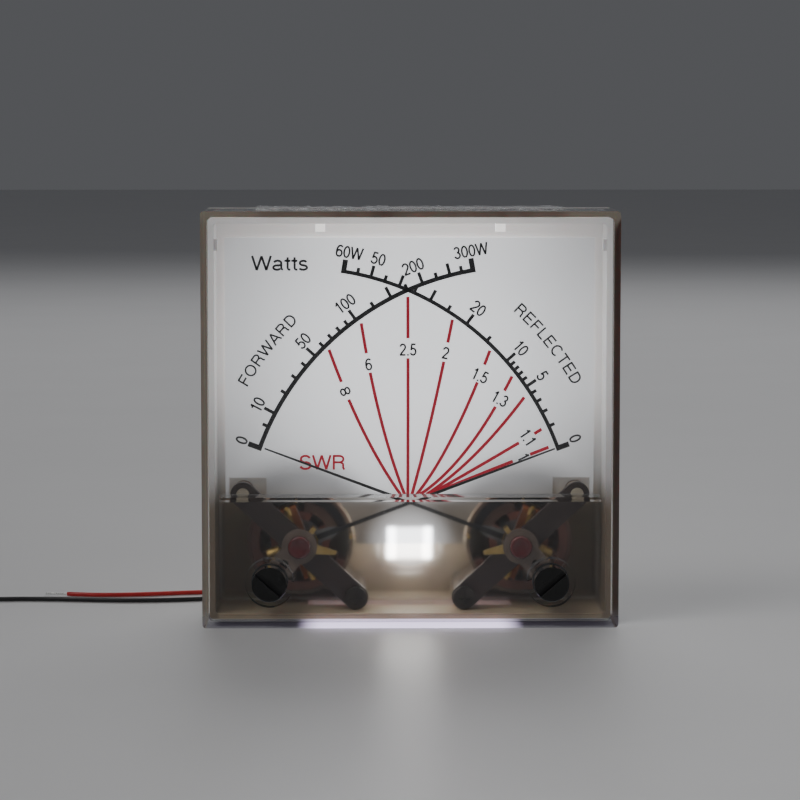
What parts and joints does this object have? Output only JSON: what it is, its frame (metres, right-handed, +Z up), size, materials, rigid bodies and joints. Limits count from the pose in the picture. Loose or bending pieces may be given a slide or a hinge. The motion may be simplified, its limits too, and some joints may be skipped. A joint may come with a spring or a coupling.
{
  "type": "swr meter",
  "caption": "Square clear-fronted cross-needle meter head with two moving-coil movements, a lit scale plate and loose lamp leads.",
  "frame": {"origin": "middle of the base, half-way between the front face and the ends of the terminal tags", "axes": "+X to the right as the dial is read, +Y from the front face to the terminals, +Z up"},
  "size_m": [0.119, 0.0371, 0.0701],
  "materials": {
    "clear_cover": "clear, polished, with a frosted lower panel",
    "white_case": "translucent white moulding",
    "dial_plate": "satin translucent white, printed",
    "clear_tape": "thin clear film",
    "steel": "nickel plated",
    "dark_steel": "blackened",
    "circuit_board": "solder mask",
    "led_lens": "diffusing lens",
    "red_insulation": "soft satin",
    "black_insulation": "soft satin",
    "tinned_wire": "tinned",
    "brass": "plain",
    "cream_plastic": "satin",
    "yoke_iron": "blackened",
    "magnet": "ground",
    "pole_iron": "lacquered",
    "dark_bridge": "dark moulding",
    "red_lacquer": "locking lacquer",
    "black_plastic": "moulded",
    "cream_metal": "satin",
    "spring_bronze": "bright",
    "copper_wire": "enamelled",
    "thin_aluminium": "bright",
    "black_needle": "painted black",
    "grey_metal": "stamped"
  },
  "bodies": {
    "root": {"front_cover": "clear_cover", "rear_case": "white_case", "scale_plate": "dial_plate", "sealing_tape": "clear_tape", "case_screws": "dark_steel", "lamp_board": "circuit_board", "lamp_led": "led_lens", "red_lead": "red_insulation", "black_lead": "black_insulation", "red_lead_tip": "tinned_wire", "black_lead_tip": "tinned_wire", "left_terminal_tags": "brass", "left_frame": "cream_plastic", "left_yoke": "yoke_iron", "left_core_magnet": "magnet", "left_pole_shoes": "pole_iron", "left_front_bridge": "dark_bridge", "left_bridge_screw": "dark_steel", "left_front_jewel_screw": "brass", "left_lacquer_seal": "red_lacquer", "left_rear_jewel_screw": "brass", "left_pointer_stops": "brass", "left_rear_hairspring": "spring_bronze", "right_terminal_tags": "brass", "right_frame": "cream_plastic", "right_yoke": "yoke_iron", "right_core_magnet": "magnet", "right_pole_shoes": "pole_iron", "right_front_bridge": "dark_bridge", "right_bridge_screw": "dark_steel", "right_front_jewel_screw": "brass", "right_lacquer_seal": "red_lacquer", "right_rear_jewel_screw": "brass", "right_pointer_stops": "brass", "right_rear_hairspring": "spring_bronze"},
    "left_adjuster": {"left_zero_adjuster": "black_plastic"},
    "left_zero_arm": {"left_zero_arm": "cream_metal", "left_spring_tab": "brass", "left_front_hairspring": "spring_bronze"},
    "left_pointer": {"left_coil": "copper_wire", "left_coil_former": "thin_aluminium", "left_spindle": "steel", "left_needle": "black_needle", "left_balance_cross": "grey_metal", "left_balance_weights": "brass"},
    "right_adjuster": {"right_zero_adjuster": "black_plastic"},
    "right_zero_arm": {"right_zero_arm": "cream_metal", "right_spring_tab": "brass", "right_front_hairspring": "spring_bronze"},
    "right_pointer": {"right_coil": "copper_wire", "right_coil_former": "thin_aluminium", "right_spindle": "steel", "right_needle": "black_needle", "right_balance_cross": "grey_metal", "right_balance_weights": "brass"}
  },
  "joints": [
    {"name": "left_adjuster_turn", "type": "hinge", "parent": "root", "child": "left_adjuster", "pos_m": [-0.02375, -0.0125, 0.00736], "axis": [0, -1, 0], "range_deg": [-45, 45]},
    {"name": "left_zero_arm_turn", "type": "hinge", "parent": "root", "child": "left_zero_arm", "pos_m": [-0.0188, -0.0092, 0.013], "axis": [0, -1, 0], "range_deg": [-6.3, 6.3]},
    {"name": "left_needle_swing", "type": "hinge", "parent": "left_zero_arm", "child": "left_pointer", "pos_m": [-0.0188, 0, 0.013], "axis": [0, -1, 0], "range_deg": [-2, 62], "stiffness_Nm_per_rad": 0.00005, "deforming": ["left_front_hairspring", "left_rear_hairspring"]},
    {"name": "right_adjuster_turn", "type": "hinge", "parent": "root", "child": "right_adjuster", "pos_m": [0.02375, -0.0125, 0.00736], "axis": [0, 1, 0], "range_deg": [-45, 45]},
    {"name": "right_zero_arm_turn", "type": "hinge", "parent": "root", "child": "right_zero_arm", "pos_m": [0.0188, -0.0092, 0.013], "axis": [0, 1, 0], "range_deg": [-6.3, 6.3]},
    {"name": "right_needle_swing", "type": "hinge", "parent": "right_zero_arm", "child": "right_pointer", "pos_m": [0.0188, 0, 0.013], "axis": [0, 1, 0], "range_deg": [-2, 62], "stiffness_Nm_per_rad": 0.00005, "deforming": ["right_front_hairspring", "right_rear_hairspring"]}
  ],
  "couplings": [
    {"joint": "left_zero_arm_turn", "follows": "left_adjuster_turn", "ratio": -0.14},
    {"joint": "right_zero_arm_turn", "follows": "right_adjuster_turn", "ratio": -0.14}
  ]
}
